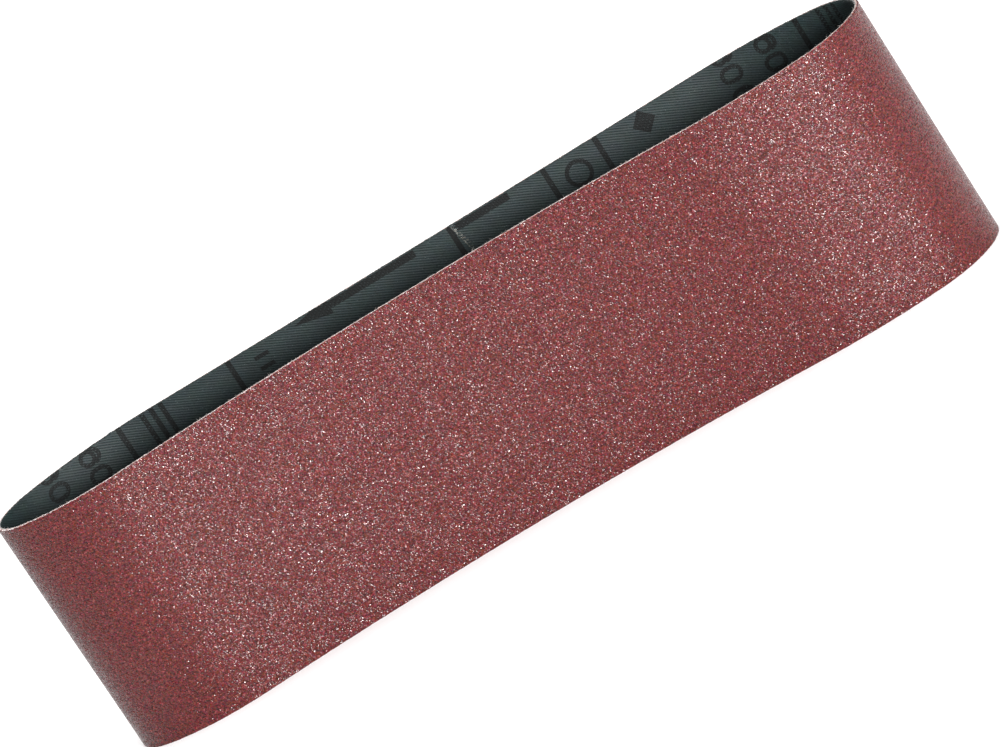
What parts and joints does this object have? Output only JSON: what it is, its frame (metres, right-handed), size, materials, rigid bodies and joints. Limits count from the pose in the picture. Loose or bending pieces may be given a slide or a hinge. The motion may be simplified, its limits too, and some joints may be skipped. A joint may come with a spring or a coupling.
{
  "type": "sanding belt",
  "caption": "Endless loop of coated abrasive cloth for a belt sander, standing on its edge: red-brown grain outside, grey-green twill backing with print and a lap splice inside.",
  "frame": {"origin": "middle of the loop's box, on the surface that the belt's lower cut edge stands on", "axes": "+X along the loop's long direction, towards the rounder tip; +Y towards the straighter wall, which holds the splice; +Z across the belt's width, up"},
  "size_m": [0.2804, 0.0576, 0.075],
  "materials": {
    "backing": "resin-filled twill, satin",
    "adhesive": "cured film, translucent brown",
    "make_resin": "hard cured resin",
    "grain": "sharp crushed grain",
    "size_resin": "thin glossy resin over grain",
    "ink": "matt printing ink"
  },
  "bodies": {
    "root": {"backing_cloth": "backing", "splice_adhesive": "adhesive", "make_coat": "make_resin", "abrasive_grain": "grain", "size_coat": "size_resin", "direction_arrows": "ink", "rule_lines": "ink", "grade_numbers": "ink", "strokes_and_dashes": "ink", "rings_and_diamonds": "ink"}
  },
  "joints": []
}
